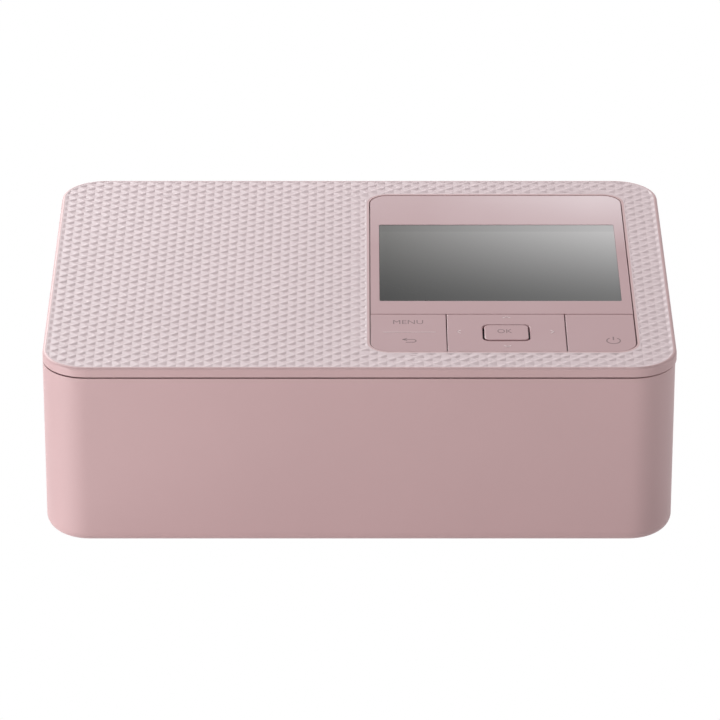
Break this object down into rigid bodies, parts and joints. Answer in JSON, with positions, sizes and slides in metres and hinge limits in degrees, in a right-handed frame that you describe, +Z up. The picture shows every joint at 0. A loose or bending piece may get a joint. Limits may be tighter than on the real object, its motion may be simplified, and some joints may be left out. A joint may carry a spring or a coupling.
{
  "type": "compact photo printer",
  "caption": "Compact photo printer: low rounded box with fold-down front door, side ribbon door, embossed top cover, display and key row.",
  "frame": {"origin": "middle of the footprint, on the table under the rubber feet", "axes": "+X to the right seen from the front, along the width; the front door faces -Y; +Z up"},
  "size_m": [0.1822, 0.133, 0.0576],
  "materials": {
    "shell": "fine satin texture",
    "panel": "smooth",
    "dark_plastic": "fine texture",
    "grey_plastic": "fine texture",
    "gear_plastic": "smooth",
    "lock_plastic": "smooth",
    "film": "smooth",
    "window": "gloss",
    "display": "gloss",
    "rubber": "matte",
    "steel": "satin",
    "aluminium": "satin",
    "brass": "turned",
    "board": "solder mask"
  },
  "bodies": {
    "root": {"main_housing": "shell", "top_cover": "shell", "control_panel": "panel", "base_plate": "grey_plastic", "cassette_guide": "grey_plastic", "ink_guide": "grey_plastic", "ink_case": "grey_plastic", "paper_guide": "dark_plastic", "card_socket": "dark_plastic", "dc_jack": "dark_plastic", "ink_ribbon": "film", "display_window": "window", "display_module": "display", "rubber_feet": "rubber", "frame_left": "steel", "frame_right": "steel", "frame_stay": "steel", "tie_bars": "steel", "motor_bracket": "steel", "pinch_holder": "steel", "pinch_springs": "steel", "usb_a_socket": "steel", "usb_c_socket": "steel", "key_switches": "steel", "case_screws": "steel", "feed_motor": "aluminium", "head_motor": "aluminium", "panel_cable": "aluminium", "bushes": "brass", "main_board": "board", "power_board": "board", "panel_board": "board"},
    "front_door": {"front_door": "shell", "front_door_pins": "steel"},
    "ink_door": {"ink_door": "shell", "ink_door_pins": "steel"},
    "menu_key": {"menu_key": "panel"},
    "nav_carrier": {"nav_carrier": "grey_plastic"},
    "nav_pad": {"nav_pad": "panel"},
    "ok_key": {"ok_key": "panel"},
    "power_key": {"power_key": "panel"},
    "ink_lock": {"ink_lock": "lock_plastic"},
    "grip_roller": {"grip_roller": "steel", "grip_gear": "gear_plastic"},
    "platen": {"platen_roller": "rubber", "platen_shaft": "steel"},
    "pinch_roller": {"pinch_roller": "grey_plastic"},
    "feed_roller": {"feed_shaft": "steel", "feed_tyres": "rubber", "feed_gear": "gear_plastic"},
    "reduction_gear": {"reduction_gear": "gear_plastic"},
    "feed_pinion": {"feed_pinion": "brass"},
    "takeup_drive": {"takeup_drive": "gear_plastic"},
    "takeup_spool": {"takeup_spool": "film"},
    "supply_spool": {"supply_spool": "film"},
    "print_head": {"head_carrier": "steel", "head_shaft": "steel", "heat_sink": "aluminium", "print_head": "dark_plastic"},
    "head_pinion": {"head_pinion": "brass"}
  },
  "joints": [
    {"name": "front_door_hinge", "type": "hinge", "parent": "root", "child": "front_door", "pos_m": [0, -0.061, 0.0075], "axis": [1, 0, 0], "range_deg": [0, 90]},
    {"name": "ink_door_hinge", "type": "hinge", "parent": "root", "child": "ink_door", "pos_m": [0.0886, 0.0282, 0.0172], "axis": [0, 1, 0], "range_deg": [0, 90]},
    {"name": "menu_key_rock", "type": "hinge", "parent": "root", "child": "menu_key", "pos_m": [0.0142, -0.0425, 0.0562], "axis": [1, 0, 0], "range_deg": [-1.5, 1.5], "stiffness_Nm_per_rad": 0.05},
    {"name": "nav_tilt_x", "type": "hinge", "parent": "root", "child": "nav_carrier", "pos_m": [0.04245, -0.0425, 0.0554], "axis": [1, 0, 0], "range_deg": [-1.5, 1.5], "stiffness_Nm_per_rad": 0.05},
    {"name": "nav_tilt_y", "type": "hinge", "parent": "nav_carrier", "child": "nav_pad", "pos_m": [0.04245, -0.0425, 0.0554], "axis": [0, 1, 0], "range_deg": [-1.5, 1.5], "stiffness_Nm_per_rad": 0.05},
    {"name": "ok_key_press", "type": "slide", "parent": "root", "child": "ok_key", "axis": [0, 0, -1], "range_m": [0, 0.0004], "stiffness_N_per_m": 200},
    {"name": "power_key_press", "type": "hinge", "parent": "root", "child": "power_key", "pos_m": [0.0697, -0.03, 0.0569], "axis": [1, 0, 0], "range_deg": [0, 1], "stiffness_Nm_per_rad": 0.05},
    {"name": "ink_lock_slide", "type": "slide", "parent": "root", "child": "ink_lock", "axis": [0, 0, 1], "range_m": [0, 0.005], "stiffness_N_per_m": 60},
    {"name": "grip_spin", "type": "hinge", "parent": "root", "child": "grip_roller", "pos_m": [0, 0.004, 0.0165], "axis": [1, 0, 0], "continuous": true},
    {"name": "feed_spin", "type": "hinge", "parent": "root", "child": "feed_roller", "pos_m": [0, -0.01419, 0.027], "axis": [1, 0, 0], "continuous": true},
    {"name": "reduction_spin", "type": "hinge", "parent": "root", "child": "reduction_gear", "pos_m": [-0.068, 0.01898, 0.01571], "axis": [1, 0, 0], "continuous": true},
    {"name": "feed_pinion_spin", "type": "hinge", "parent": "root", "child": "feed_pinion", "pos_m": [-0.07, 0.03149, 0.02155], "axis": [1, 0, 0], "continuous": true},
    {"name": "takeup_drive_spin", "type": "hinge", "parent": "root", "child": "takeup_drive", "pos_m": [-0.066, 0.01417, 0.03278], "axis": [1, 0, 0], "continuous": true},
    {"name": "takeup_spin", "type": "hinge", "parent": "root", "child": "takeup_spool", "pos_m": [0, 0.01417, 0.03278], "axis": [1, 0, 0], "continuous": true},
    {"name": "pinch_spin", "type": "hinge", "parent": "root", "child": "pinch_roller", "pos_m": [0, 0.004, 0.0243], "axis": [1, 0, 0], "continuous": true},
    {"name": "platen_spin", "type": "hinge", "parent": "root", "child": "platen", "pos_m": [0, 0.0295, 0.013], "axis": [1, 0, 0], "continuous": true},
    {"name": "supply_spin", "type": "hinge", "parent": "root", "child": "supply_spool", "pos_m": [0, 0.0423, 0.0305], "axis": [1, 0, 0], "continuous": true},
    {"name": "head_swing", "type": "hinge", "parent": "root", "child": "print_head", "pos_m": [0, 0.054, 0.043], "axis": [1, 0, 0], "range_deg": [0, 10.5], "deforming": ["ink_ribbon"]},
    {"name": "head_pinion_spin", "type": "hinge", "parent": "root", "child": "head_pinion", "pos_m": [-0.07, 0.05012, 0.02851], "axis": [1, 0, 0], "range_deg": [-23, 23]}
  ],
  "couplings": [
    {"joint": "feed_spin", "follows": "grip_spin", "ratio": -0.8421},
    {"joint": "reduction_spin", "follows": "grip_spin", "ratio": -1.7778},
    {"joint": "feed_pinion_spin", "follows": "grip_spin", "ratio": 3.3333},
    {"joint": "takeup_drive_spin", "follows": "grip_spin", "ratio": -1},
    {"joint": "takeup_spin", "follows": "grip_spin", "ratio": -1},
    {"joint": "pinch_spin", "follows": "grip_spin", "ratio": -0.875},
    {"joint": "head_pinion_spin", "follows": "head_swing", "ratio": -2.125}
  ]
}
